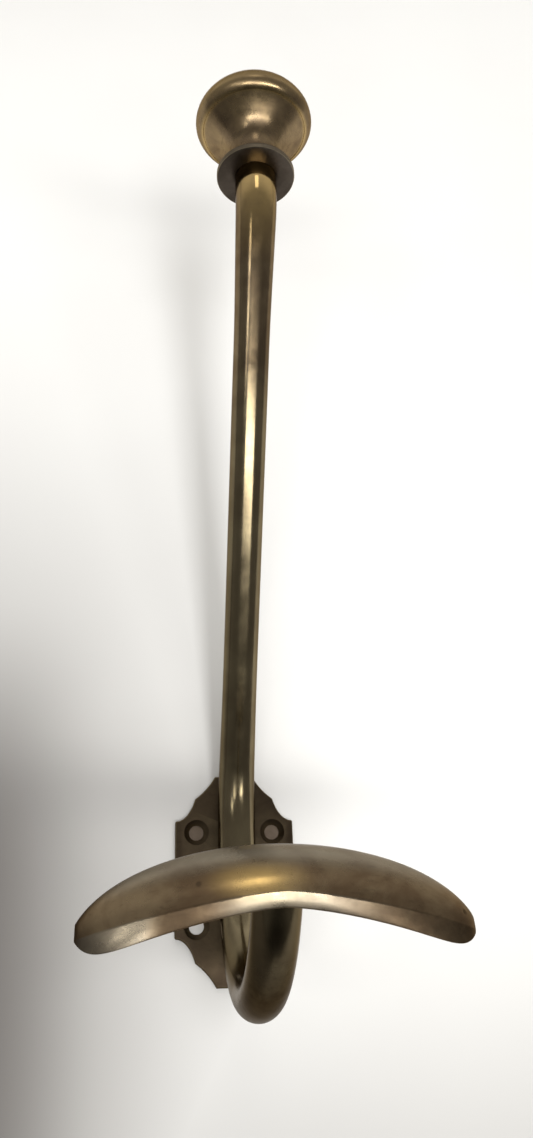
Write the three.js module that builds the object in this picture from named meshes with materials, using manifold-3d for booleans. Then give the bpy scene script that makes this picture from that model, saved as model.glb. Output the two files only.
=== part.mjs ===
// Hat and coat hook in aged brass: a bent round stem on a shaped wall plate, with a turned knob
// on the hat arm and a domed crescent bow on the coat arm.
// Millimetres. X runs along the bow, +Y goes into the wall, +Z is up. The origin is the centre of
// the wall plate's rear face, so the wall is the plane Y = 0 and the hook stands out towards -Y.

import * as THREE from "three";
import { mergeVertices } from "three/addons/utils/BufferGeometryUtils.js";
import Module from "manifold-3d";

const wasm = await Module();
wasm.setup();

// ---- Driving dimensions ----
const GAP = 0.3; // clearance kept between neighbouring pieces

// Wall plate
const PLATE_THICKNESS = 2.5;
const PLATE_BEVEL = 0.6;
const PLATE_HALF_WIDTH = 19.7;
const SHOULDER_Z = 18.3; // square corners, above and below the centre
const SHOULDER_STEP = 1.3; // width of the small step inside each corner
const CUSP = [13.1, 25.6]; // point between the two coves of a corner
const TONGUE = [6.4, 33.0]; // corner of the flat top and bottom ends
const SCREW_X = 12.7;
const SCREW_Z = 14.6;
const SCREW_HOLE_RADIUS = 2.45;
const SCREW_SINK_RADIUS = 4.1;

// Stem: one bent round rod, drawn a little slimmer along its middle
const STEM_RADIUS = 6.0;
const STEM_SIDES = 24;
const STEM_STEPS = 112;
const SEAT_RADIUS = 6.14;
// [place along the stem, radius]: -1 is the bow end, 0 the seat on the plate and 1 the knob end
const STEM_TAPER = [
  [-1, 5.97],
  [0, SEAT_RADIUS],
  [0.3, 5.6],
  [0.75, 5.75],
  [1, 6.59],
];
const STEM_AXIS_Y = -(PLATE_THICKNESS + SEAT_RADIUS); // axis of the straight leg on the plate
const DEG = Math.PI / 180;
// Runs are [length] for a straight and [radius, turn in degrees] for a bend; + turns off the wall.
const HAT_ARM = [[14.7], [42, 29.3], [174.8], [24, -29.3], [4.1]];
const COAT_ARM = [[2], [19.2, -32.3], [50.2, -115.5], [0.9]];

// Knob: collar and turned head, on the vertical end of the hat arm
const COLLAR_RADIUS = 12.4;
const COLLAR_THICKNESS = 1.8;
const COLLAR_LIP = 0.35;
const SPIGOT_DEPTH = 0.8; // how far the rod end sits in the collar
const TURNED_SEGMENTS = 48;
const HEAD_BASE_RADIUS = 8.9;
// Head profile as [radius, height above the collar's underside], from the neck to the crown
const HEAD_PROFILE = [
  [8.15, 3.2],
  [7.75, 6.3],
  [7.9, 9.4],
  [8.7, 12.2],
  [10.4, 14.8],
  [12.5, 16.9],
  [14.6, 18.7],
  [16.5, 20.1],
  [17.6, 20.8],
  [18.5, 21.8],
  [19, 23.2],
  [18.85, 24.9],
  [18.25, 26.4],
  [17.1, 28.1],
  [15, 30],
  [11.8, 31.9],
  [8, 33.2],
  [4, 33.9],
];
const CROWN_HEIGHT = 34.1;

// Coat bow: a domed crescent, thick in the middle and drooping to blunt tips
const BOW_HALF_LENGTH = 45.8;
const BOW_STATIONS = 30;
const BOW_CENTRE_Y = -96.8;
const BOW_RIDGE_Z = -14.1; // front edge between the dome and the rim, at mid length
const BOW_CREST_Z = -2.1;
const BOW_RIM = 3.3; // rim height at mid length
const BOW_RIM_SWELL = 2.4;
const BOW_RIDGE_DROOP = 8.4;
const BOW_CREST_ELLIPSE = [47.5, 23];
const BOW_TIP_DEPTH = 0.1; // tip depth as a share of the mid-length depth

// Hidden fixings
const STUD_RADIUS = 2.5;
const STUD_IN_STEM = 10;
const KNOB_STUD_IN_HEAD = 12;
const BOW_STUD_IN_BOW = 4.2;
const RIVET_RADIUS = 2.0;
const RIVET_HEAD_RADIUS = 2.8;
const RIVET_Z = [5.5, 13.5];
const RIVET_IN_STEM = 5;

// ---- Finishes ----
const brass = (color, roughness) =>
  new THREE.MeshStandardMaterial({ color, roughness, metalness: 1 });
const STEM_BRASS = brass(0x7b6650, 0.34);
const PLATE_BRASS = brass(0x5d4d3e, 0.5);
const COLLAR_BRASS = brass(0x3a3028, 0.55);
const HEAD_BRASS = brass(0x8a7047, 0.3);
const BOW_BRASS = brass(0x83694c, 0.32);
const FIXING_BRASS = brass(0xa58a55, 0.4);

// ---- Solids ----
function toSolid(geometry) {
  const bare = geometry.index ? geometry.toNonIndexed() : geometry.clone();
  bare.deleteAttribute("normal");
  bare.deleteAttribute("uv");
  const merged = mergeVertices(bare, 1e-4);
  const vertProperties = new Float32Array(merged.attributes.position.array);
  const triVerts = new Uint32Array(merged.index.array);
  const mesh = new wasm.Mesh({ numProp: 3, vertProperties, triVerts });
  return new wasm.Manifold(mesh);
}

function toGeometry(solid) {
  const { vertProperties, triVerts, numProp } = solid.getMesh();
  const count = vertProperties.length / numProp;
  const positions = new Float32Array(count * 3);
  for (let i = 0; i < count; i++) {
    for (let k = 0; k < 3; k++) {
      positions[i * 3 + k] = vertProperties[i * numProp + k];
    }
  }
  const geometry = new THREE.BufferGeometry();
  geometry.setAttribute("position", new THREE.BufferAttribute(positions, 3));
  geometry.setIndex(Array.from(triVerts));
  const flat = geometry.toNonIndexed();
  flat.computeVertexNormals();
  return flat;
}

function named(name, solid, material) {
  const mesh = new THREE.Mesh(toGeometry(solid), material);
  mesh.name = name;
  return mesh;
}

// A turned solid about +Y of its own frame, placed at `at` with its axis along `axis`.
function turned(profile, at, axis, segments = TURNED_SEGMENTS) {
  const points = profile.map(([r, h]) => new THREE.Vector2(r, h));
  const geometry = new THREE.LatheGeometry(points, segments);
  const turn = new THREE.Quaternion();
  turn.setFromUnitVectors(new THREE.Vector3(0, 1, 0), axis);
  geometry.applyQuaternion(turn);
  geometry.translate(at.x, at.y, at.z);
  return toSolid(geometry);
}

function cylinder(radius, from, to, at, axis, segments = 32) {
  const profile = [
    [0, from],
    [radius, from],
    [radius, to],
    [0, to],
  ];
  return turned(profile, at, axis, segments);
}

// ---- Stem path, in the plane X = 0 ----
// A heading is the lean off vertical towards -Y, in radians.
const headingVector = (a) => new THREE.Vector3(0, -Math.sin(a), Math.cos(a));

class Run extends THREE.Curve {
  constructor(start, heading, run) {
    super();
    this.start = start.clone();
    this.heading = heading;
    [this.size, this.turn = 0] = run;
    this.turn *= DEG;
  }

  headingAt(t) {
    return this.heading + this.turn * t;
  }

  getPoint(t, target = new THREE.Vector3()) {
    if (!this.turn) {
      return target.copy(headingVector(this.heading)).multiplyScalar(this.size * t).add(this.start);
    }
    const radius = this.size * Math.sign(this.turn);
    const a = this.heading;
    const b = this.headingAt(t);
    target.set(0, Math.cos(b) - Math.cos(a), Math.sin(b) - Math.sin(a));
    return target.multiplyScalar(radius).add(this.start);
  }
}

class Backwards extends THREE.Curve {
  constructor(curve) {
    super();
    this.curve = curve;
  }

  getPoint(t, target = new THREE.Vector3()) {
    return this.curve.getPoint(1 - t, target);
  }
}

function walk(start, heading, runs) {
  const curves = [];
  let at = start;
  let lean = heading;
  for (const run of runs) {
    const curve = new Run(at, lean, run);
    curves.push(curve);
    at = curve.getPoint(1);
    lean = curve.headingAt(1);
  }
  return { curves, end: at, axis: headingVector(lean) };
}

const seat = new THREE.Vector3(0, STEM_AXIS_Y, 0);
const hatArm = walk(seat, 0, HAT_ARM);
const coatArm = walk(seat, Math.PI, COAT_ARM);

const lengthOf = (arm) => arm.curves.reduce((sum, curve) => sum + curve.getLength(), 0);
const hatLength = lengthOf(hatArm);
const coatLength = lengthOf(coatArm);

function stemPath() {
  const path = new THREE.CurvePath();
  for (const curve of coatArm.curves.toReversed()) {
    path.add(new Backwards(curve));
  }
  for (const curve of hatArm.curves) {
    path.add(curve);
  }
  return path;
}

function stemRadius(place) {
  const next = Math.max(1, STEM_TAPER.findIndex(([at]) => at >= place));
  const [a, from] = STEM_TAPER[next - 1];
  const [b, to] = STEM_TAPER[next];
  return THREE.MathUtils.lerp(from, to, THREE.MathUtils.smoothstep(place, a, b));
}

const HAT_END_RADIUS = stemRadius(1);
const COAT_END_RADIUS = stemRadius(-1);

// Gives each ring of an even rod its own radius, measured from the ring's centre on the path.
function taper(rod, path) {
  const centres = path.getSpacedPoints(STEM_STEPS);
  const at = rod.attributes.position;
  const point = new THREE.Vector3();
  for (let i = 0; i < at.count; i++) {
    point.fromBufferAttribute(at, i);
    const gaps = centres.map((centre) => centre.distanceToSquared(point));
    const ring = gaps.indexOf(Math.min(...gaps));
    const along = (ring / STEM_STEPS) * (coatLength + hatLength) - coatLength;
    const place = along / (along < 0 ? coatLength : hatLength);
    point.sub(centres[ring]).multiplyScalar(stemRadius(place) / STEM_RADIUS);
    point.add(centres[ring]);
    at.setXYZ(i, point.x, point.y, point.z);
  }
}

function stemRod() {
  const circle = new THREE.Shape();
  for (let i = 0; i < STEM_SIDES; i++) {
    const a = ((i + 0.5) * 2 * Math.PI) / STEM_SIDES;
    const x = STEM_RADIUS * Math.cos(a);
    const y = STEM_RADIUS * Math.sin(a);
    if (i === 0) circle.moveTo(x, y);
    else circle.lineTo(x, y);
  }
  circle.closePath();
  const path = stemPath();
  const rod = new THREE.ExtrudeGeometry(circle, {
    steps: STEM_STEPS,
    bevelEnabled: false,
    extrudePath: path,
  });
  taper(rod, path);
  return toSolid(rod);
}

// ---- Wall plate ----
// Outline of one quarter, walked from its +X side to its end tongue; sx and sz mirror it.
function plateOutline() {
  const shape = new THREE.Shape();
  const [cuspX, cuspZ] = CUSP;
  const [tongueX, tongueZ] = TONGUE;
  const stepX = PLATE_HALF_WIDTH - SHOULDER_STEP;
  const quarter = (sx, sz, outwards) => {
    const p = (x, z) => [sx * x, sz * z];
    const corner = p(PLATE_HALF_WIDTH, SHOULDER_Z);
    const step = p(stepX, SHOULDER_Z + 0.15);
    const cusp = p(cuspX, cuspZ);
    const tongue = p(tongueX, tongueZ);
    const bow1 = p(stepX - 3.5, SHOULDER_Z + 1.4);
    const bow2 = p(cuspX - 4.1, cuspZ + 2.9);
    if (outwards) {
      shape.lineTo(...tongue);
      shape.quadraticCurveTo(...bow2, ...cusp);
      shape.quadraticCurveTo(...bow1, ...step);
      shape.lineTo(...corner);
    } else {
      shape.lineTo(...corner);
      shape.lineTo(...step);
      shape.quadraticCurveTo(...bow1, ...cusp);
      shape.quadraticCurveTo(...bow2, ...tongue);
    }
  };
  shape.moveTo(PLATE_HALF_WIDTH, -SHOULDER_Z);
  quarter(1, 1, false);
  quarter(-1, 1, true);
  quarter(-1, -1, false);
  quarter(1, -1, true);
  return shape;
}

function platePlain() {
  const blank = new THREE.ExtrudeGeometry(plateOutline(), {
    depth: PLATE_THICKNESS - PLATE_BEVEL,
    curveSegments: 8,
    bevelEnabled: true,
    bevelThickness: PLATE_BEVEL,
    bevelSize: PLATE_BEVEL,
    bevelOffset: -PLATE_BEVEL,
    bevelSegments: 2,
  });
  blank.rotateX(Math.PI / 2); // the outline's y becomes Z and the depth runs to -Y
  const keep = new THREE.BoxGeometry(100, PLATE_THICKNESS + 1, 100);
  keep.translate(0, -(PLATE_THICKNESS + 1) / 2, 0);
  return toSolid(blank).intersect(toSolid(keep));
}

const OUT = new THREE.Vector3(0, -1, 0); // off the wall

function screwCutter(x, z) {
  const rise = SCREW_SINK_RADIUS - SCREW_HOLE_RADIUS;
  const profile = [
    [0, -1],
    [SCREW_HOLE_RADIUS, -1],
    [SCREW_HOLE_RADIUS, PLATE_THICKNESS - rise],
    [SCREW_SINK_RADIUS + 0.5, PLATE_THICKNESS + 0.5],
    [0, PLATE_THICKNESS + 0.5],
  ];
  return turned(profile, new THREE.Vector3(x, 0, z), OUT, 32);
}

function rivetCutter(z) {
  const wide = RIVET_HEAD_RADIUS + 2 * GAP;
  const narrow = RIVET_RADIUS + GAP;
  const profile = [
    [0, -0.5],
    [wide + 0.5, -0.5],
    [narrow, wide - narrow],
    [narrow, PLATE_THICKNESS + RIVET_IN_STEM + GAP],
    [0, PLATE_THICKNESS + RIVET_IN_STEM + GAP],
  ];
  return turned(profile, new THREE.Vector3(0, 0, z), OUT, 24);
}

function rivet(z) {
  const cone = RIVET_HEAD_RADIUS - RIVET_RADIUS;
  const profile = [
    [0, GAP],
    [RIVET_HEAD_RADIUS, GAP],
    [RIVET_RADIUS, GAP + cone],
    [RIVET_RADIUS, PLATE_THICKNESS + RIVET_IN_STEM],
    [0, PLATE_THICKNESS + RIVET_IN_STEM],
  ];
  return turned(profile, new THREE.Vector3(0, 0, z), OUT, 24);
}

function backPlate() {
  let plate = platePlain();
  for (const x of [-SCREW_X, SCREW_X]) {
    for (const z of [-SCREW_Z, SCREW_Z]) {
      plate = plate.subtract(screwCutter(x, z));
    }
  }
  for (const z of RIVET_Z) {
    plate = plate.subtract(rivetCutter(z));
  }
  return plate;
}

// ---- Stem with its seat and drilled ends ----
function stem() {
  const seatCut = new THREE.BoxGeometry(30, 10, 80);
  seatCut.translate(0, -(PLATE_THICKNESS + GAP) + 5, 0);
  let rod = stemRod().subtract(toSolid(seatCut));
  for (const z of RIVET_Z) {
    rod = rod.subtract(rivetCutter(z));
  }
  const bore = STUD_RADIUS + GAP;
  const depth = STUD_IN_STEM + GAP;
  for (const arm of [hatArm, coatArm]) {
    rod = rod.subtract(cylinder(bore, -depth, 1, arm.end, arm.axis));
  }
  return rod;
}

// ---- Knob ----
const knobAxis = hatArm.axis;
const STEM_IN_COLLAR = SPIGOT_DEPTH - GAP;
const knobBase = hatArm.end.clone().addScaledVector(knobAxis, -STEM_IN_COLLAR);

function collar() {
  const hole = STUD_RADIUS + GAP;
  const recess = HAT_END_RADIUS + GAP;
  const edge = COLLAR_RADIUS;
  const profile = [
    [recess, 0],
    [edge - COLLAR_LIP, 0],
    [edge, COLLAR_LIP],
    [edge, COLLAR_THICKNESS - COLLAR_LIP],
    [edge - COLLAR_LIP, COLLAR_THICKNESS],
    [hole, COLLAR_THICKNESS],
    [hole, SPIGOT_DEPTH],
    [recess, SPIGOT_DEPTH],
    [recess, 0],
  ];
  return turned(profile, knobBase, knobAxis);
}

function head() {
  const foot = COLLAR_THICKNESS + GAP;
  const profile = [[0, foot], [HEAD_BASE_RADIUS, foot], ...HEAD_PROFILE, [0, CROWN_HEIGHT]];
  const bore = STUD_RADIUS + GAP;
  const top = foot + KNOB_STUD_IN_HEAD + GAP;
  return turned(profile, knobBase, knobAxis).subtract(cylinder(bore, 0, top, knobBase, knobAxis));
}

function knobStud() {
  const top = COLLAR_THICKNESS + GAP + KNOB_STUD_IN_HEAD - STEM_IN_COLLAR;
  return cylinder(STUD_RADIUS, -STUD_IN_STEM, top, hatArm.end, knobAxis, 24);
}

// ---- Coat bow ----
// Cross-section at mid length: [depth from the bow's centre line, height above the ridge].
const BOW_SECTION = [
  [-13.0, 0],
  [-12.1, -BOW_RIM],
  [-5.6, -2.4],
  [13.1, 9.4],
  [12.3, 10.6],
  [10.5, 11.4],
  [6.0, 12.1],
  [1.0, 12.0],
  [-3.4, 11.1],
  [-7.4, 9.2],
  [-10.4, 6.5],
  [-12.2, 3.4],
];

const bowDepth = (t) => BOW_TIP_DEPTH + (1 - BOW_TIP_DEPTH) * Math.pow(1 - t * t, 0.6);
const bowRidge = (t) => BOW_RIDGE_Z - BOW_RIDGE_DROOP * Math.pow(Math.abs(t), 1.4);
const bowRim = (t) => (BOW_RIM + BOW_RIM_SWELL * t * t) * (1 - 0.97 * Math.pow(t, 14));

function bowCrest(t) {
  const [a, b] = BOW_CREST_ELLIPSE;
  const x = (t * BOW_HALF_LENGTH) / a;
  return BOW_CREST_Z - b * (1 - Math.sqrt(1 - x * x));
}

// Places a point of the mid-length section at station t, from -1 to 1 along the bow.
function bowPoint(t, depth, height) {
  const ridge = bowRidge(t);
  const rise = (bowCrest(t) - ridge) / (BOW_CREST_Z - BOW_RIDGE_Z);
  const sink = bowRim(t) / BOW_RIM;
  const y = BOW_CENTRE_Y + depth * bowDepth(t);
  const z = ridge + height * (height > 0 ? rise : sink);
  return [t * BOW_HALF_LENGTH, y, z];
}

function bowBlank() {
  const section = new THREE.Shape(BOW_SECTION.map(([d, h]) => new THREE.Vector2(d, h)));
  const blank = new THREE.ExtrudeGeometry(section, {
    depth: 2,
    steps: BOW_STATIONS,
    bevelEnabled: false,
  });
  const at = blank.attributes.position;
  for (let i = 0; i < at.count; i++) {
    const s = THREE.MathUtils.clamp(at.getZ(i) - 1, -1, 1);
    const t = 0.75 * s + 0.25 * Math.sin((s * Math.PI) / 2);
    at.setXYZ(i, ...bowPoint(t, at.getX(i), at.getY(i)));
  }
  return toSolid(blank);
}

function coatBow() {
  const back = coatArm.end.clone().addScaledVector(coatArm.axis, -20);
  const room = COAT_END_RADIUS + GAP;
  const socket = cylinder(room, 0, 20 + GAP, back, coatArm.axis, 40);
  const bore = cylinder(STUD_RADIUS + GAP, 0, BOW_STUD_IN_BOW + 2 * GAP, coatArm.end, coatArm.axis);
  return bowBlank().subtract(socket).subtract(bore);
}

function bowStud() {
  const out = BOW_STUD_IN_BOW + GAP;
  return cylinder(STUD_RADIUS, -STUD_IN_STEM, out, coatArm.end, coatArm.axis, 24);
}

// ---- Assembly ----
const hook = new THREE.Group();
hook.add(named("back_plate", backPlate(), PLATE_BRASS));
hook.add(named("stem_rod", stem(), STEM_BRASS));
RIVET_Z.forEach((z, i) => {
  hook.add(named(`stem_rivet_${i ? "upper" : "lower"}`, rivet(z), FIXING_BRASS));
});

const knob = new THREE.Group();
knob.add(named("knob_collar", collar(), COLLAR_BRASS));
knob.add(named("knob_head", head(), HEAD_BRASS));
knob.add(named("knob_stud", knobStud(), FIXING_BRASS));
hook.add(knob);

const bow = new THREE.Group();
bow.add(named("coat_bow", coatBow(), BOW_BRASS));
bow.add(named("bow_stud", bowStud(), FIXING_BRASS));
hook.add(bow);

export default hook;
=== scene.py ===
"""Hat and coat hook in aged brass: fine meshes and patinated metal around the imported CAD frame."""

import math

import bmesh
import bpy
from mathutils import Matrix, Vector


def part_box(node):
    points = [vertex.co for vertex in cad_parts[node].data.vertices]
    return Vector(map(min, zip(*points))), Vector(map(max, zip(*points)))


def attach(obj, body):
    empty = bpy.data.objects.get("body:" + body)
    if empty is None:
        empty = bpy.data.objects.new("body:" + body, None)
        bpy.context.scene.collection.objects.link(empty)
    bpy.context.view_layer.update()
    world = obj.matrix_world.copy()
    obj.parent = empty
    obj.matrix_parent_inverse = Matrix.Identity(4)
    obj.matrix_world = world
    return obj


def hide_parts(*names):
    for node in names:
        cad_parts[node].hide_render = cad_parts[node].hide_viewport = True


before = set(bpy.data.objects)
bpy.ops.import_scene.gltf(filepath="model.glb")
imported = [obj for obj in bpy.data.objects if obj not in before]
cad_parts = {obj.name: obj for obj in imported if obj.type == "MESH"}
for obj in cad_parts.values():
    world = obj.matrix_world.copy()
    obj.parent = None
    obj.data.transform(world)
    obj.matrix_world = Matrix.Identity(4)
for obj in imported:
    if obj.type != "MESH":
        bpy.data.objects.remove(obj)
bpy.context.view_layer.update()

MM = 0.001


# ---------------------------------------------------------------- camera
CAMERA_AT = Vector((-33.4, -321.0, -32.9)) * MM
CAMERA_YAW = math.radians(8.45)
CAMERA_RISE = math.radians(24.13)
CAMERA_ROLL = math.radians(-2.03)
SENSOR = 36.0  # mm, along the picture's long side
LENS = 29.48  # mm
NEAR_CLIP = 0.01


def make_camera():
    data = bpy.data.cameras.new("camera")
    data.sensor_width = SENSOR
    data.sensor_fit = "AUTO"
    data.lens = LENS
    data.clip_start = NEAR_CLIP
    camera = bpy.data.objects.new("camera", data)
    bpy.context.scene.collection.objects.link(camera)
    flat, rise = math.cos(CAMERA_RISE), math.sin(CAMERA_RISE)
    ahead = Vector((math.sin(CAMERA_YAW) * flat, math.cos(CAMERA_YAW) * flat, rise))
    level = Vector((math.cos(CAMERA_YAW), -math.sin(CAMERA_YAW), 0))
    above = level.cross(ahead)
    right = level * math.cos(CAMERA_ROLL) + above * math.sin(CAMERA_ROLL)
    up = -level * math.sin(CAMERA_ROLL) + above * math.cos(CAMERA_ROLL)
    turn = Matrix((right, up, -ahead)).transposed().to_4x4()
    camera.matrix_world = Matrix.Translation(CAMERA_AT) @ turn
    bpy.context.scene.camera = camera


make_camera()


# ---------------------------------------------------------------- dimensions from the frame
PLATE_LOW, PLATE_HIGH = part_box("back_plate")
ROD_LOW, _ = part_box("stem_rod")
COLLAR_LOW, COLLAR_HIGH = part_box("knob_collar")
HEAD_LOW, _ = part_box("knob_head")
_, BOW_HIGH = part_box("coat_bow")

PLATE_FRONT = PLATE_LOW.y
COLLAR_RADIUS = COLLAR_HIGH.x
COLLAR_THICKNESS = COLLAR_HIGH.z - COLLAR_LOW.z
COLLAR_AT = Vector((0, (COLLAR_LOW.y + COLLAR_HIGH.y) / 2, COLLAR_LOW.z))


# ---------------------------------------------------------------- mesh helpers
CORNER_ROOM = 2.2  # a rounded corner takes at most its neighbour's length over this


def new_object(name, bm, smooth_angle):
    """Turns a bmesh into a scene object, normals outwards and smooth up to the angle (degrees)."""
    bmesh.ops.recalc_face_normals(bm, faces=bm.faces)
    mesh = bpy.data.meshes.new(name)
    bm.to_mesh(mesh)
    bm.free()
    obj = bpy.data.objects.new(name, mesh)
    bpy.context.scene.collection.objects.link(obj)
    shade(obj, smooth_angle)
    return obj


def shade(obj, angle):
    """Smooth shading, with edges sharper than the angle (degrees) kept crisp."""
    mesh = obj.data
    mesh.polygons.foreach_set("use_smooth", [True] * len(mesh.polygons))
    mesh.set_sharp_from_angle(angle=math.radians(angle))


def apply_modifiers(obj):
    """Replaces the object's mesh with what its modifiers make of it."""
    graph = bpy.context.evaluated_depsgraph_get()
    mesh = bpy.data.meshes.new_from_object(obj.evaluated_get(graph))
    old = obj.data
    obj.modifiers.clear()
    obj.data = mesh
    mesh.name = old.name
    bpy.data.meshes.remove(old)


def smooth_line(points, per_span=6):
    """A Catmull-Rom curve through 2-D points, with per_span pieces between neighbours."""
    out = []
    last = len(points) - 1
    for i in range(last):
        p0 = points[max(i - 1, 0)]
        p1, p2 = points[i], points[i + 1]
        p3 = points[min(i + 2, last)]
        for k in range(per_span):
            t = k / per_span
            out.append(tuple(
                0.5 * (2 * b + (c - a) * t + (2 * a - 5 * b + 4 * c - d) * t * t
                       + (3 * b - a - 3 * c + d) * t ** 3)
                for a, b, c, d in zip(p0, p1, p2, p3)
            ))
    out.append(tuple(points[last]))
    return out


def bevel_edges(obj, width, segments, angle, miter="MITER_SHARP"):
    """Rounds every edge sharper than the angle (degrees). The width is in mm."""
    bevel = obj.modifiers.new("edges", "BEVEL")
    bevel.width = width * MM
    bevel.segments = segments
    bevel.limit_method = "ANGLE"
    bevel.angle_limit = math.radians(angle)
    bevel.miter_outer = miter
    apply_modifiers(obj)


def bridge_rings(bm, rings, closed=False):
    """Joins neighbouring rings with quads; closed also joins the last to the first."""
    pairs = list(zip(rings, rings[1:]))
    if closed:
        pairs.append((rings[-1], rings[0]))
    for a, b in pairs:
        n = len(a)
        for i in range(n):
            j = (i + 1) % n
            bm.faces.new((a[i], a[j], b[j], b[i]))


def lathe(name, profile, at, segments=160, axis="Z", smooth_angle=32):
    """Turns a profile of (radius, height) in mm round an axis through the point at.
    Heights run along +Z, or along -Y with axis="Y". A profile that starts and ends on the axis
    is closed there; any other is joined end to end."""
    profile = [(radius * MM, height * MM) for radius, height in profile]
    bm = bmesh.new()
    rings = []
    on_axis = profile[0][0] < 1e-9
    for radius, height in profile[1:-1] if on_axis else profile:
        ring = []
        for k in range(segments):
            a = 2 * math.pi * k / segments
            if axis == "Z":
                co = (radius * math.cos(a), radius * math.sin(a), height)
            else:
                co = (radius * math.cos(a), -height, radius * math.sin(a))
            ring.append(bm.verts.new(Vector(co) + at))
        rings.append(ring)
    bridge_rings(bm, rings, closed=not on_axis)
    if on_axis:
        for ring, (_, height) in ((rings[0], profile[0]), (rings[-1], profile[-1])):
            tip = Vector((0, 0, height)) if axis == "Z" else Vector((0, -height, 0))
            centre = bm.verts.new(tip + at)
            for k in range(segments):
                bm.faces.new((ring[k], ring[(k + 1) % segments], centre))
    return new_object(name, bm, smooth_angle)


def rounded(corners, radius, steps=4):
    """Rounds every corner between the two ends of an open 2-D line."""
    out = [corners[0]]
    for before, here, after in zip(corners, corners[1:], corners[2:]):
        a = Vector(before) - Vector(here)
        b = Vector(after) - Vector(here)
        cut = min(radius, a.length / CORNER_ROOM, b.length / CORNER_ROOM)
        start = Vector(here) + a.normalized() * cut
        end = Vector(here) + b.normalized() * cut
        for k in range(steps + 1):
            t = k / steps
            point = start * (1 - t) ** 2 + Vector(here) * 2 * t * (1 - t) + end * t * t
            out.append(tuple(point))
    out.append(corners[-1])
    return out


def paint(obj, name, value):
    """Stores value(position, normal) as a float attribute on every vertex."""
    layer = obj.data.attributes.new(name, "FLOAT", "POINT")
    for vertex in obj.data.vertices:
        layer.data[vertex.index].value = value(vertex.co, vertex.normal)


def ease(value, low, high):
    """0 at low and 1 at high, smooth in between; low may be the larger."""
    t = min(1.0, max(0.0, (value - low) / (high - low)))
    return t * t * (3 - 2 * t)


def bump_at(p, centre, radius):
    """1 at a centre, falling smoothly to 0 at the radius, which has a number for each axis."""
    d = math.sqrt(sum(((a - c) / r) ** 2 for a, c, r in zip(p, centre, radius)))
    return ease(1 - d, 0, 1)


# ---------------------------------------------------------------- stem
SEAT_RADIUS = 6.14 * MM
STEM_TAPER = [(-1, 5.97), (0, 6.14), (0.3, 5.6), (0.75, 5.75), (1, 6.59)]  # place, radius in mm
SEAT_CLEARANCE = 0.02 * MM  # between the rod's flat seat and the plate

# Runs away from the seat: (length, 0) is straight, (radius, degrees) is a bend, in mm.
HAT_ARM = [(14.7, 0), (42, 29.3), (174.8, 0), (24, -29.3), (4.1, 0)]
COAT_ARM = [(2, 0), (19.2, -32.3), (50.2, -115.5), (0.9, 0)]


def walk(start, heading, runs, step=0.9 * MM):
    """Points with their headings and lengths along runs in the plane X = 0, and the full length.
    A heading of 0 is upwards; it grows as the line leans away from the wall."""
    points = [(start.copy(), heading, 0.0)]
    at, lean, length = start.copy(), heading, 0.0
    for size, turn in runs:
        size, turn = size * MM, math.radians(turn)
        run = size if not turn else size * abs(turn)
        count = max(1, round(run / step))
        begin, first = at.copy(), lean
        for k in range(1, count + 1):
            t = k / count
            if turn:
                radius = size * math.copysign(1, turn)
                lean = first + turn * t
                out = math.cos(lean) - math.cos(first)
                up = math.sin(lean) - math.sin(first)
                at = begin + Vector((0, out, up)) * radius
            else:
                at = begin + Vector((0, -math.sin(first), math.cos(first))) * size * t
            points.append((at.copy(), lean, length + run * t))
        length += run
    return points, length


def taper_radius(place):
    """The rod's radius at a place: -1 at the bow, 0 at the seat, 1 at the knob."""
    for (a, low), (b, high) in zip(STEM_TAPER, STEM_TAPER[1:]):
        if place <= b:
            return (low + (high - low) * ease(place, a, b)) * MM
    return STEM_TAPER[-1][1] * MM


def stem_stations():
    """The rod's (point, heading, place) from the bow round the U and up to the knob."""
    seat = Vector((0, PLATE_FRONT - SEAT_RADIUS, 0))
    hat, hat_length = walk(seat, 0.0, HAT_ARM)
    coat, coat_length = walk(seat, math.pi, COAT_ARM)
    stations = [(p, lean + math.pi, -s / coat_length) for p, lean, s in reversed(coat[1:])]
    stations += [(p, lean, s / hat_length) for p, lean, s in hat]
    return stations


def stem_rod(sides=72):
    """The bent rod, from the bow to the knob, with a flat seat where it meets the plate."""
    bm = bmesh.new()
    rings = []
    for at, lean, place in stem_stations():
        radius = taper_radius(place)
        across = Vector((0, math.cos(lean), math.sin(lean)))
        ring = []
        for k in range(sides):
            a = 2 * math.pi * k / sides
            co = at + Vector((1, 0, 0)) * radius * math.cos(a) + across * radius * math.sin(a)
            co.y = min(co.y, PLATE_FRONT - SEAT_CLEARANCE)  # the flat seat against the plate
            ring.append(bm.verts.new(co))
        rings.append(ring)
    bridge_rings(bm, rings)
    for ring in (rings[0], rings[-1]):
        bm.faces.new(ring)
    return new_object("stem", bm, smooth_angle=40)


# ---------------------------------------------------------------- wall plate
# The outline's corners and the screw places, from the plate's centre, in mm.
SHOULDER = (19.7, 18.3)
SHOULDER_STEP = (18.4, 18.45)
LOW_COVE_PULL = (14.9, 19.7)
CUSP = (13.1, 25.6)
HIGH_COVE_PULL = (9.0, 28.5)
TONGUE = (6.4, 33.0)
SCREW_X, SCREW_Z = 12.7, 14.6
SCREW_HOLE, SCREW_SINK = 2.45, 4.1  # radii
PLATE_BEVEL = 0.55
OVERCUT = 0.5  # how far a cutter stands out of the plate
FINE_SEGMENTS = 64  # round a screw hole or a rivet

RIVETS = ("stem_rivet_lower", "stem_rivet_upper")
RIVET_RADIUS, RIVET_HEAD = 2.0, 2.8
RIVET_PLAY, RIVET_HEAD_PLAY = 0.05, 0.15  # room round the shank and the head
RIVET_CORNER = 0.25


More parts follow.
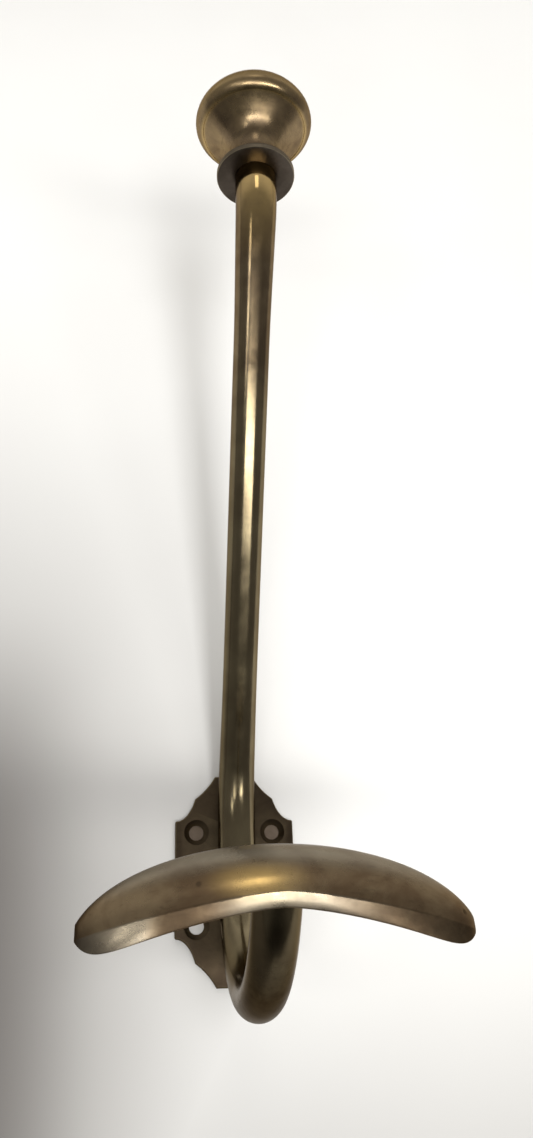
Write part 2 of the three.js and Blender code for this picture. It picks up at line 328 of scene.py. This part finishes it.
def cove(start, middle, end, steps=14):
    """A concave stretch of the outline, from start to end, pulled towards middle."""
    points = []
    for k in range(1, steps + 1):
        t = k / steps
        points.append(tuple(
            a * (1 - t) ** 2 + 2 * b * t * (1 - t) + c * t * t
            for a, b, c in zip(start, middle, end)
        ))
    return points


def quarter_outline():
    """One corner of the plate, from its shoulder to the tongue at its end, in mm."""
    low_cove = cove(SHOULDER_STEP, LOW_COVE_PULL, CUSP)
    return [SHOULDER, SHOULDER_STEP] + low_cove + cove(CUSP, HIGH_COVE_PULL, TONGUE)


def plate_outline():
    """The whole outline: the corner, mirrored left to right and top to bottom."""
    quarter = quarter_outline()
    upper = quarter + [(-x, z) for x, z in reversed(quarter)]
    return upper + [(-x, -z) for x, z in upper]


def plate_cutters(thick):
    """Bodies to cut away: four countersunk screw holes and two holes for the rivets."""
    cutters = []
    straight = thick - (SCREW_SINK - SCREW_HOLE)
    screw = [(0, -1), (SCREW_HOLE, -1), (SCREW_HOLE, straight),
             (SCREW_SINK + OVERCUT, thick + OVERCUT), (0, thick + OVERCUT)]
    for x in (-SCREW_X, SCREW_X):
        for z in (-SCREW_Z, SCREW_Z):
            at = Vector((x, 0, z)) * MM
            cutters.append(lathe("screw_cut", screw, at, FINE_SEGMENTS, axis="Y"))
    shank, head = RIVET_RADIUS + RIVET_PLAY, RIVET_HEAD + RIVET_HEAD_PLAY
    riveted = [(0, -OVERCUT), (head + OVERCUT, -OVERCUT), (shank, head - RIVET_RADIUS),
               (shank, thick + 1), (0, thick + 1)]
    for name in RIVETS:
        low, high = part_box(name)
        at = Vector((0, 0, (low.z + high.z) / 2))
        cutters.append(lathe("rivet_cut", riveted, at, FINE_SEGMENTS, axis="Y"))
    return cutters


def wall_plate():
    """The plate, extruded from its rear face, bevelled and then drilled."""
    bm = bmesh.new()
    thickness = PLATE_HIGH.y - PLATE_LOW.y
    back = [bm.verts.new((x * MM, PLATE_HIGH.y, z * MM)) for x, z in plate_outline()]
    front = bmesh.ops.extrude_face_region(bm, geom=[bm.faces.new(back)])
    moved = [v for v in front["geom"] if isinstance(v, bmesh.types.BMVert)]
    bmesh.ops.translate(bm, verts=moved, vec=(0, -thickness, 0))
    obj = new_object("wall_plate", bm, smooth_angle=30)
    cutters = plate_cutters(thickness / MM)
    bevel_edges(obj, PLATE_BEVEL, segments=4, angle=60, miter="MITER_ARC")
    for piece in cutters:
        cut = obj.modifiers.new("cut", "BOOLEAN")
        cut.operation = "DIFFERENCE"
        cut.solver = "EXACT"
        cut.object = piece
        apply_modifiers(obj)
    for piece in cutters:
        bpy.data.objects.remove(piece)
    shade(obj, angle=24)
    return obj


def rivet(name):
    """A countersunk rivet, from its flat head at the plate's rear to its end in the rod."""
    low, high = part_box(name)
    length = (high.y - low.y) / MM
    profile = rounded([(0, 0), (RIVET_HEAD, 0), (RIVET_RADIUS, RIVET_HEAD - RIVET_RADIUS),
                       (RIVET_RADIUS, length), (0, length)], RIVET_CORNER)
    at = Vector((0, high.y, (low.z + high.z) / 2))
    return lathe(name + "_fine", profile, at, FINE_SEGMENTS, axis="Y")


# ---------------------------------------------------------------- knob
# Radii and heights above the collar's underside, in mm.
HEAD_BASE, HEAD_BASE_EDGE, HEAD_BASE_CORNER = 8.9, 0.7, 0.35
HEAD_SINK = 0.25  # how far the head reaches down towards the collar
HEAD_RIDGE = 20.1
HEAD_UNDERSIDE = [(8.15, 3.2), (7.75, 6.3), (7.9, 9.4), (8.7, 12.2), (10.4, 14.8), (12.5, 16.9),
                  (14.6, 18.7), (16.5, HEAD_RIDGE)]
HEAD_CROWN = [(16.65, 20.0), (17.7, 20.7), (18.55, 21.8), (19.0, 23.2), (18.85, 24.9),
              (18.25, 26.4), (17.1, 28.1), (15.0, 30.0), (11.8, 31.9), (8.0, 33.2), (4.0, 33.9),
              (0, 34.1)]
COLLAR_LIP = 0.3
COLLAR_LIP_CORNER = (0.1, 0.09)  # how far the lip's middle point is in from the edge and the face
COLLAR_FLAT_INSET = 0.6
COLLAR_BORE = (3.0, 0.5)  # radius round the stud, and height of the recess for the rod's end
COLLAR_PLAY = 0.04
COLLAR_MOUTH = (0.1, 0.05)  # chamfer of the recess


def knob_head():
    """The knob: a short foot, a flared underside, a sharp ridge and a domed crown."""
    foot = (HEAD_LOW.z - COLLAR_LOW.z) / MM - HEAD_SINK
    base = rounded([(0, foot), (HEAD_BASE, foot), (HEAD_BASE, foot + HEAD_BASE_EDGE),
                    HEAD_UNDERSIDE[0]], HEAD_BASE_CORNER)
    profile = base[:-1] + smooth_line(HEAD_UNDERSIDE, 5) + smooth_line(HEAD_CROWN, 5)
    return lathe("knob", profile, COLLAR_AT, segments=192, smooth_angle=24)


def knob_collar():
    """The thin disc under the knob, with rounded edges and a recess for the rod's end."""
    outer, thick = COLLAR_RADIUS / MM, COLLAR_THICKNESS / MM
    inner = taper_radius(1) / MM + COLLAR_PLAY
    bore, recess = COLLAR_BORE
    inset, lift = COLLAR_LIP_CORNER
    wider, deep = COLLAR_MOUTH
    profile = [(inner, recess), (inner, deep), (inner + wider, 0)]
    profile += [(outer - COLLAR_FLAT_INSET, 0), (outer - COLLAR_LIP, 0), (outer - inset, lift)]
    profile += [(outer, COLLAR_LIP), (outer, thick - COLLAR_LIP), (outer - inset, thick - lift)]
    profile += [(outer - COLLAR_LIP, thick), (outer - COLLAR_FLAT_INSET, thick)]
    profile += [(bore, thick), (bore, recess)]
    return lathe("collar", profile, COLLAR_AT)


# ---------------------------------------------------------------- coat bow
BOW_CENTRE_Y = -96.8
BOW_RIDGE_Z = -14.1
BOW_CREST_Z = -2.1
BOW_RIM, BOW_RIM_SWELL = 3.3, 2.4  # the rim's height at mid length, and what it gains outwards
BOW_RIM_FADE, BOW_RIM_FADE_POWER = 0.97, 14  # how the rim shrinks at the very tips
BOW_DROOP, BOW_DROOP_POWER = 8.4, 1.4  # how far the ridge falls towards the tips
BOW_CREST_ELLIPSE = (47.5, 23)  # half width and height of the arch that the crest follows
BOW_TIP_DEPTH, BOW_TIP_POWER = 0.1, 0.6  # share of the depth left at the tips, and its curve
BOW_TIP_BEVEL = 0.3
BOW_EVEN_SHARE = 0.65  # the rest of the stations crowd towards the tips

# The section at mid length: (depth, height above the ridge), in mm.
BOW_DOME = [(13.1, 9.4), (12.3, 10.6), (10.5, 11.4), (6.0, 12.1), (1.0, 12.0), (-3.4, 11.1),
            (-7.4, 9.2), (-10.4, 6.5), (-12.2, 3.4), (-13.0, 0)]
BOW_RIM_LINE = [(-13.0, 0), (-12.95, -0.2), (-12.6, -1.5), (-12.2, -2.95), (-12.05, -3.2),
                (-11.7, -3.3)]
BOW_UNDER_LINE = [(-8.0, -2.82), (-5.6, -2.4), (-2.0, -0.15), (1.6, 2.1), (5.4, 4.55), (9.3, 7.0)]


def bow_ridge(t):
    """The ridge's height in mm at t, from -1 at the left tip to 1 at the right one."""
    return BOW_RIDGE_Z - BOW_DROOP * abs(t) ** BOW_DROOP_POWER


def bow_place(t, depth, height):
    """A point of the section, moved to t along the bow and scaled to the size there."""
    half = BOW_HIGH.x / MM
    share = BOW_TIP_DEPTH + (1 - BOW_TIP_DEPTH) * (1 - t * t) ** BOW_TIP_POWER
    ridge = bow_ridge(t)
    a, b = BOW_CREST_ELLIPSE
    crest = BOW_CREST_Z - b * (1 - math.sqrt(1 - (t * half / a) ** 2))
    rise = (crest - ridge) / (BOW_CREST_Z - BOW_RIDGE_Z)
    fade = 1 - BOW_RIM_FADE * t ** BOW_RIM_FADE_POWER
    sink = (BOW_RIM + BOW_RIM_SWELL * t * t) * fade / BOW_RIM
    z = ridge + height * (rise if height > 0 else sink)
    return Vector((t * half, BOW_CENTRE_Y + depth * share, z)) * MM


def coat_bow(stations=140):
    """The crescent bow, swept from tip to tip."""
    bm = bmesh.new()
    section = smooth_line(BOW_DOME, 5)[:-1] + BOW_RIM_LINE + BOW_UNDER_LINE
    rings = []
    for k in range(stations + 1):
        crowded, even = -math.cos(math.pi * k / stations), 2 * k / stations - 1
        t = (1 - BOW_EVEN_SHARE) * crowded + BOW_EVEN_SHARE * even
        rings.append([bm.verts.new(bow_place(t, d, h)) for d, h in section])
    bridge_rings(bm, rings)
    for ring in (rings[0], rings[-1]):
        bm.faces.new(ring)
    obj = new_object("bow", bm, smooth_angle=26)
    bevel_edges(obj, BOW_TIP_BEVEL, segments=3, angle=50)
    shade(obj, angle=24)
    return obj


# ---------------------------------------------------------------- materials
# Noise scales, in cells per metre.
CLOUDS, SPECKS, DRAWN_LINES, GLOSS_PATCHES, WAVES = 70, 420, 900, 160, 60
WEAR_AND_HIGHLIGHT_BREAKS, PIT_CELLS, PIT_PATCHES = 230, 230, 95

WEAR_AND_HIGHLIGHT_POLISH, DARKENING_DULLS = 0.08, 0.15  # how far wear and painted highlight lower the roughness, and darkening and painted shade raise it
WAVE_HEIGHT, SPECK_HEIGHT, LINE_HEIGHT, PIT_DEPTH = 0.55, 0.1, 0.05, 0.6  # shares of the bump
METAL_BUMP, METAL_BUMP_DEPTH = 0.22, 0.0006  # strength, metres
GRAZING_TINT = (0.55, 0.5, 0.45, 1)


class Nodes:
    """A short way to write a material's node tree."""

    def __init__(self, name):
        self.material = bpy.data.materials.new(name)
        self.material.use_nodes = True
        self.tree = self.material.node_tree
        self.tree.nodes.clear()
        self.out = self.add("ShaderNodeOutputMaterial")
        self.coord = self.add("ShaderNodeTexCoord").outputs["Object"]

    def add(self, kind, **inputs):
        node = self.tree.nodes.new(kind)
        for key, value in inputs.items():
            self.set(node, key, value)
        return node

    def set(self, node, key, value):
        socket = node.inputs[key.replace("_", " ") if isinstance(key, str) else key]
        if isinstance(value, bpy.types.NodeSocket):
            self.tree.links.new(value, socket)
        else:
            socket.default_value = value

    def noise(self, scale, detail=3.0, roughness=0.55, stretch=(1, 1, 1), distortion=0.0):
        mapping = self.add("ShaderNodeMapping", Vector=self.coord, Scale=stretch)
        node = self.add("ShaderNodeTexNoise", Vector=mapping.outputs[0], Scale=scale,
                        Detail=detail, Roughness=roughness, Distortion=distortion)
        return node.outputs["Fac"]

    def ramp(self, value, low, high, to_low=0.0, to_high=1.0):
        """Maps low..high to to_low..to_high, smooth in between and held outside."""
        node = self.add("ShaderNodeMapRange")
        node.interpolation_type = "SMOOTHSTEP"
        for key, number in enumerate((value, low, high, to_low, to_high)):
            self.set(node, key, number)
        return node.outputs[0]

    def maths(self, operation, a, b):
        node = self.add("ShaderNodeMath")
        node.operation = operation
        self.set(node, 0, a)
        self.set(node, 1, b)
        return node.outputs[0]

    def times(self, a, b):
        return self.maths("MULTIPLY", a, b)

    def plus(self, a, b):
        return self.maths("ADD", a, b)

    def minus(self, a, b):
        return self.maths("SUBTRACT", a, b)

    def mix(self, share, a, b):
        """Colour a where the share is 0, colour b where it is 1."""
        node = self.add("ShaderNodeMix")
        node.data_type = "RGBA"
        self.set(node, 0, share)
        self.set(node, 6, a)
        self.set(node, 7, b)
        return node.outputs[2]

    def attribute(self, name):
        node = self.add("ShaderNodeAttribute")
        node.attribute_name = name
        return node.outputs["Fac"]


def rgb(r, g, b):
    """A linear colour from 8-bit sRGB numbers."""
    def linear(c):
        c /= 255
        return c / 12.92 if c <= 0.04045 else ((c + 0.055) / 1.055) ** 2.4
    return (linear(r), linear(g), linear(b), 1)


def aged_brass(name, brass, patina, dark, rough, wear_and_highlight=None, pale=None, grain=(1, 1, 1), pits=0.0):
    """Satin brass under a patina: cloudy colour, drawn grain, dark specks, pits, worn places and
    painted highlights.
    Three mesh attributes say where wear and painted highlight, paler places, and darkening and
    painted shade show."""
    n = Nodes(name)
    cloud = n.noise(CLOUDS, 5, 0.6, distortion=0.4)
    specks = n.noise(SPECKS, 4, 0.65)
    lines = n.noise(DRAWN_LINES, 2, 0.6, stretch=grain)
    tone = n.mix(n.ramp(cloud, 0.34, 0.68), patina, brass)
    tone = n.mix(n.ramp(specks, 0.62, 0.8, 0, 0.35), tone, dark)
    tone = n.mix(n.ramp(lines, 0.55, 0.75, 0, 0.2), tone, dark)
    gloss = n.ramp(n.noise(GLOSS_PATCHES, 4, 0.6), 0.3, 0.7, *rough)
    if wear_and_highlight is not None:
        breaks = n.ramp(n.noise(WEAR_AND_HIGHLIGHT_BREAKS, 4), 0.25, 0.6, 0.75, 1.0)
        worn_and_highlighted = n.times(n.attribute("wear_and_highlight"), breaks)
        tone = n.mix(worn_and_highlighted, tone, wear_and_highlight)
        gloss = n.minus(gloss, n.times(worn_and_highlighted, WEAR_AND_HIGHLIGHT_POLISH))
    if pale is not None:
        pale_share = n.times(n.attribute("pale"), n.ramp(cloud, 0.2, 0.7, 0.7, 1))
        tone = n.mix(pale_share, tone, pale)
    shade_and_darkening = n.attribute("shade_and_darkening")
    gloss = n.plus(gloss, n.times(shade_and_darkening, DARKENING_DULLS))
    tone = n.mix(n.times(shade_and_darkening, n.ramp(specks, 0.2, 0.8, 0.7, 1.0)), tone, dark)
    height = n.plus(n.times(n.noise(WAVES, 2), WAVE_HEIGHT), n.times(specks, SPECK_HEIGHT))
    height = n.plus(height, n.times(lines, LINE_HEIGHT))
    if pits:
        cells = n.add("ShaderNodeTexVoronoi", Vector=n.coord, Scale=PIT_CELLS)
        pit = n.ramp(cells.outputs["Distance"], 0.1, 0.24, 1, 0)
        pit = n.times(pit, n.ramp(n.noise(PIT_PATCHES, 2), 0.6, 0.7))
        tone = n.mix(n.times(pit, pits), tone, dark)
        height = n.minus(height, n.times(pit, PIT_DEPTH))
    bump = n.add("ShaderNodeBump", Height=height, Strength=METAL_BUMP, Distance=METAL_BUMP_DEPTH)
    shader = n.add("ShaderNodeBsdfPrincipled", Metallic=1.0, Specular_Tint=GRAZING_TINT,
                   Base_Color=tone, Roughness=gloss, Normal=bump.outputs[0])
    n.set(n.out, "Surface", shader.outputs[0])
    return n.material


DARK = rgb(50, 42, 34)
# Golden colour of wear and of painted highlights.
WORN_AND_HIGHLIGHT_GOLD = rgb(186, 160, 110)


def dress(piece, material, slot, *nodes):
    """Gives a piece its material and its body, and hides the CAD nodes that it stands for; the slot
    is not used.
    """
    piece.data.materials.clear()
    piece.data.materials.append(material)
    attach(piece, "root")
    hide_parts(*nodes)


# ---------------------------------------------------------------- build
STEM_HIGHLIGHT = (0.17, 0.195)  # heights where the painted golden highlight on the rod's top starts and is full, in metres
STEM_OLIVE = (0.17, 0.11)  # heights where the olive lower rod starts and is full
STEM_DARKENING = (0.022, 0.004)  # the same for the darker bottom of the U, above the rod's lowest point
# Centre and spread of the painted shade on the plate round the rod's seat.
PLATE_SHADE = (0, PLATE_FRONT, 0.01)
PLATE_SHADE_SPREAD = (0.012, 0.01, 0.03)
KNOB_EDGE_Z = COLLAR_LOW.z + HEAD_RIDGE * MM
KNOB_EDGE_FROM = 15 * MM  # the worn ridge lies farther out than this
# Centre and spread of the painted golden highlight on the bow's face.
BOW_HIGHLIGHT = (-0.006, -0.109, -0.0115)
BOW_HIGHLIGHT_SPREAD = (0.014, 0.02, 0.006)


def build_stem():
    piece = stem_rod()
    low = ROD_LOW.z

    # Painted highlight: the front of the rod's top is painted golden and lighter.
    def worn_and_highlighted(p, n):
        return ease(p.z, *STEM_HIGHLIGHT) * ease(-n.y, 0.2, 0.9)

    # Darker on the U's lowest part, where it faces down and forwards.
    def shade_and_darkening(p, n):
        return ease(p.z - low, *STEM_DARKENING) * ease(-n.z, -0.2, 0.5) * ease(-n.y, -0.6, 0.1)

    paint(piece, "wear_and_highlight", worn_and_highlighted)
    paint(piece, "shade_and_darkening", shade_and_darkening)
    paint(piece, "pale", lambda p, n: 0.6 * ease(p.z, *STEM_OLIVE))
    material = aged_brass("stem_brass_aged", brass=rgb(128, 113, 90), patina=rgb(97, 82, 65),
                          dark=DARK, rough=(0.15, 0.22), wear_and_highlight=WORN_AND_HIGHLIGHT_GOLD, pale=rgb(122, 114, 90),
                          grain=(1, 0.08, 0.08))
    dress(piece, material, "stem_brass", "stem_rod")


def build_plate():
    piece = wall_plate()

    # The bevelled edges are painted lighter: wear, and a painted highlight along the edges.
    def worn_and_highlighted(p, n):
        return 0.5 * ease(abs(n.y), 0.97, 0.8) * ease(abs(n.y), 0.2, 0.5)

    paint(piece, "wear_and_highlight", worn_and_highlighted)
    # Painted shade on the plate beside and round the rod's seat.
    paint(piece, "shade_and_darkening", lambda p, n: 0.5 * bump_at(p, PLATE_SHADE, PLATE_SHADE_SPREAD))
    material = aged_brass("plate_brass_aged", brass=rgb(80, 69, 55), patina=rgb(62, 52, 42),
                          dark=rgb(38, 32, 26), rough=(0.38, 0.5), wear_and_highlight=rgb(150, 136, 108),
                          grain=(0.3, 1, 1))
    dress(piece, material, "plate_brass", "back_plate")


def build_rivets():
    """The two rivets, and the same brass on the studs, which keep their CAD shape."""
    material = aged_brass("rivet_brass", brass=rgb(170, 140, 88), patina=rgb(140, 114, 72),
                          dark=DARK, rough=(0.3, 0.42))
    for name in RIVETS:
        dress(rivet(name), material, "fixing_brass", name)
    for name in ("knob_stud", "bow_stud"):
        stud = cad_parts[name]
        stud.data.materials.clear()
        stud.data.materials.append(material)


def build_knob():
    head = knob_head()

    # The ridge's edge is painted lighter as wear, and the crown above the ridge as a painted
    # highlight.
    def worn_and_highlighted(p, n):
        out = math.hypot(p.x, p.y - COLLAR_AT.y)
        edge = max(0, 1 - abs(p.z - KNOB_EDGE_Z) / (0.5 * MM)) * (out > KNOB_EDGE_FROM)
        return max(0.75 * edge, 0.5 * ease(p.z, KNOB_EDGE_Z, KNOB_EDGE_Z + 6 * MM))

    paint(head, "wear_and_highlight", worn_and_highlighted)
    # Darker towards the collar.
    paint(head, "shade_and_darkening", lambda p, n: 0.5 * ease(p.z, COLLAR_HIGH.z + 5 * MM, COLLAR_HIGH.z))
    material = aged_brass("head_brass_aged", brass=rgb(152, 132, 100), patina=rgb(112, 96, 77),
                          dark=DARK, rough=(0.24, 0.34), wear_and_highlight=WORN_AND_HIGHLIGHT_GOLD, grain=(0.2, 0.2, 1))
    dress(head, material, "head_brass", "knob_head")


def build_collar():
    disc = knob_collar()
    rim = COLLAR_RADIUS - 0.2 * MM

    # Painted highlight: a pale line along the disc's rounded rim.
    def rim_highlight(p, n):
        return 0.7 * (math.hypot(p.x, p.y - COLLAR_AT.y) > rim) * ease(abs(n.z), 0.1, 0.4)

    paint(disc, "wear_and_highlight", rim_highlight)
    material = aged_brass("collar_brass_aged", brass=rgb(92, 84, 77), patina=rgb(74, 67, 60),
                          dark=rgb(44, 39, 34), rough=(0.36, 0.46), wear_and_highlight=rgb(170, 158, 134),
                          grain=(1, 1, 0.2))
    dress(disc, material, "collar_brass", "knob_collar")


def build_bow():
    piece = coat_bow()
    half = BOW_HIGH.x

    def rim(p, n):
        """1 on the slanted rim under the ridge, 0 elsewhere."""
        ridge = bow_ridge(p.x / half) * MM
        return ease(p.z, ridge + 0.15 * MM, ridge - 0.05 * MM) * ease(-n.y, 0.3, 0.7)

    def rim_shade(p):
        """1 where the rim gets painted shade in place of the painted reflection: inside the left tip
        and along the right half.
        """
        left = ease(p.x, -0.032, -0.026) * ease(p.x, -0.008, -0.02)
        return max(left, ease(p.x, 0.006, 0.03))

    # Painted reflection on the slanted rim, and a painted grey sheen on the upward-facing top.
    def pale(p, n):
        top = 0.75 * ease(n.z, 0.45, 0.9) * ease(abs(p.x / half), 1.0, 0.75)
        return max(0.5 * rim(p, n) * (1 - rim_shade(p)), top)

    # Darker at the very tips, and painted shade on the rim inside the left tip and along the right
    # half.
    def shade_and_darkening(p, n):
        return max(0.5 * ease(abs(p.x), 0.04, 0.046), 0.7 * rim(p, n) * rim_shade(p))

    # A painted golden highlight spot on the bow's face.
    paint(piece, "wear_and_highlight", lambda p, n: 0.9 * bump_at(p, BOW_HIGHLIGHT, BOW_HIGHLIGHT_SPREAD))
    paint(piece, "pale", pale)
    paint(piece, "shade_and_darkening", shade_and_darkening)
    material = aged_brass("bow_brass_aged", brass=rgb(134, 117, 92), patina=rgb(104, 86, 66),
                          dark=DARK, rough=(0.25, 0.36), wear_and_highlight=rgb(196, 166, 108),
                          pale=rgb(138, 135, 125), grain=(0.1, 1, 1), pits=0.8)
    dress(piece, material, "bow_brass", "coat_bow")


build_stem()
build_plate()
build_rivets()
build_knob()
build_collar()
build_bow()


# ---------------------------------------------------------------- stage
WALL_Y = PLATE_HIGH.y - 0.4 * MM  # a hair inside the plate, so that its rear face shows from behind
WALL_HALF_SIZE = 2.2
WALL_TONES = ((0.86, 0.855, 0.845, 1), (0.9, 0.898, 0.89, 1))
# Colours of the painted shade on the wall, and its darkest in the lower left corner.
WALL_DIM = (0.25, 0.24, 0.23, 1)
WALL_DARKEST = (0.1, 0.09, 0.085, 1)
# Size and lift of the painted shade discs behind the upper screw holes.
HOLE_SHADE_RADIUS, HOLE_SHADE_LIFT = SCREW_HOLE * 1.1, 0.05  # mm


def stage_object(name, bm, material):
    mesh = bpy.data.meshes.new(name)
    bm.to_mesh(mesh)
    bm.free()
    mesh.materials.append(material)
    obj = bpy.data.objects.new(name, mesh)
    bpy.context.scene.collection.objects.link(obj)


def clear_from_behind(n, shader):
    """Ends a material with the shader in front and nothing behind."""
    both = n.add("ShaderNodeMixShader")
    n.set(both, 0, n.add("ShaderNodeNewGeometry").outputs["Backfacing"])
    n.set(both, 1, shader.outputs[0])
    n.set(both, 2, n.add("ShaderNodeBsdfTransparent").outputs[0])
    n.set(n.out, "Surface", both.outputs[0])


def wall_material():
    """Off-white painted wall with painted shade towards the lower left and the bottom, clear when
    seen from behind.
    """
    n = Nodes("pale_wall")
    place = n.add("ShaderNodeSeparateXYZ", Vector=n.coord)
    x, z = place.outputs["X"], place.outputs["Z"]
    # Painted shade: darker towards the lower left and the bottom, darkest in the lower left corner.
    dim = n.times(n.ramp(x, 0.05, -0.09), n.ramp(z, 0.26, -0.06))
    dim = n.maths("MAXIMUM", dim, n.ramp(z, 0.03, -0.12, 0, 0.6))
    corner = n.times(n.ramp(x, -0.04, -0.085), n.ramp(z, 0.1, 0.0))
    tone = n.mix(n.ramp(n.noise(6.0, 3, 0.5), 0.3, 0.7), *WALL_TONES)
    tone = n.mix(dim, tone, WALL_DIM)
    tone = n.mix(n.times(corner, 0.8), tone, WALL_DARKEST)
    bump = n.add("ShaderNodeBump", Height=n.noise(240, 3), Strength=0.05, Distance=0.0005)
    shader = n.add("ShaderNodeBsdfPrincipled", Roughness=0.75, Base_Color=tone,
                   Normal=bump.outputs[0])
    clear_from_behind(n, shader)
    return n.material


def make_wall():
    """The pale wall that the plate is screwed to."""
    bm = bmesh.new()
    half = WALL_HALF_SIZE
    corners = ((-half, -half), (half, -half), (half, half), (-half, half))
    bm.faces.new([bm.verts.new((x, WALL_Y, z)) for x, z in corners])
    stage_object("wall", bm, wall_material())


def make_hole_shades():
    """Dark discs of painted shade on the wall behind the two upper screw holes."""
    n = Nodes("hole_shade_paint")
    tone = n.mix(n.noise(500, 3), rgb(78, 66, 55), rgb(104, 92, 80))
    clear_from_behind(n, n.add("ShaderNodeBsdfPrincipled", Roughness=0.9, Base_Color=tone))
    for side in (-1, 1):
        bm = bmesh.new()
        bmesh.ops.create_circle(bm, cap_ends=True, segments=48, radius=HOLE_SHADE_RADIUS * MM)
        bmesh.ops.rotate(bm, verts=bm.verts, matrix=Matrix.Rotation(math.pi / 2, 3, "X"))
        spot = Vector((side * SCREW_X * MM, WALL_Y - HOLE_SHADE_LIFT * MM, SCREW_Z * MM))
        bmesh.ops.translate(bm, verts=bm.verts, vec=spot)
        stage_object("hole_shade", bm, n.material)


# ---------------------------------------------------------------- light
LIGHT_TARGET = Vector((0, -0.06, 0.09))
DAYLIGHT = (1, 0.99, 0.95)
LAMPLIGHT = (1, 0.95, 0.85)
LIGHTS = [
    dict(name="window", turn=6, rise=-25.9, distance=1.3, size=(1.4, 0.17), power=10.2,
         colour=DAYLIGHT),
    dict(name="ceiling_lamp", turn=-3, rise=33, distance=1.3, size=(0.3, 0.35), power=0.6,
         colour=LAMPLIGHT),
    dict(name="side_lamp", turn=-34, rise=-11, distance=1.3, size=(0.22, 0.1), power=0.7,
         colour=DAYLIGHT),
    dict(name="wall_wash", turn=8, rise=-18, distance=1.2, size=(0.2, 0.8), power=7.4,
         shines=False),
    dict(name="wall_top", turn=10, rise=48, distance=1.3, size=(0.9, 0.6), power=1.7,
         shines=False),
]

# Height of a direction, 0 straight down to 1 straight up, and the room's brightness there.
ROOM_LEVELS = ((0.0, 0.02), (0.14, 0.15), (0.28, 0.22), (0.42, 0.28), (0.62, 0.32), (0.82, 0.7),
               (1.0, 0.6))
ROOM_TINT = (1, 0.97, 0.92)
BACKDROP = (0.78, 0.77, 0.76, 1)


def area_light(name, turn, rise, distance, size, power, colour=(1, 1, 1), shines=True):
    """A softbox aimed at the hook. Turn is to the right and rise is up, in degrees.
    With shines=False the metal does not mirror it, so it mostly lights the wall."""
    turn, rise = math.radians(turn), math.radians(rise)
    flat = math.cos(rise)
    away = Vector((math.sin(turn) * flat, -math.cos(turn) * flat, math.sin(rise)))
    data = bpy.data.lights.new(name, "AREA")
    data.shape = "RECTANGLE"
    data.size, data.size_y = size
    data.energy = power
    data.color = colour
    light = bpy.data.objects.new(name, data)
    light.location = LIGHT_TARGET + away * distance
    light.rotation_euler = (-away).to_track_quat("-Z", "Y").to_euler()
    light.visible_glossy = shines
    bpy.context.scene.collection.objects.link(light)


def make_world():
    """A dim room: dark below, lighter overhead, and a plain pale backdrop for the camera."""
    world = bpy.data.worlds.new("room")
    world.use_nodes = True
    tree = world.node_tree
    back = tree.nodes["Background"]
    coord = tree.nodes.new("ShaderNodeTexCoord")
    split = tree.nodes.new("ShaderNodeSeparateXYZ")
    spread = tree.nodes.new("ShaderNodeMapRange")
    ramp = tree.nodes.new("ShaderNodeValToRGB")
    spread.inputs["From Min"].default_value = -1.0
    tree.links.new(coord.outputs["Generated"], split.inputs[0])
    tree.links.new(split.outputs["Z"], spread.inputs["Value"])
    tree.links.new(spread.outputs[0], ramp.inputs[0])
    ramp.color_ramp.interpolation = "EASE"
    points = ramp.color_ramp.elements
    for k, (at, level) in enumerate(ROOM_LEVELS):
        point = points[k] if k < 2 else points.new(at)
        point.position = at
        point.color = (*(level * share for share in ROOM_TINT), 1)
    seen = tree.nodes.new("ShaderNodeLightPath").outputs["Is Camera Ray"]
    backdrop = tree.nodes.new("ShaderNodeMix")
    backdrop.data_type = "RGBA"
    backdrop.inputs[7].default_value = BACKDROP
    tree.links.new(seen, backdrop.inputs[0])
    tree.links.new(ramp.outputs[0], backdrop.inputs[6])
    tree.links.new(backdrop.outputs[2], back.inputs["Color"])
    bpy.context.scene.world = world


make_wall()
make_hole_shades()
for light in LIGHTS:
    area_light(**light)
make_world()
bpy.context.scene.view_settings.view_transform = "Standard"
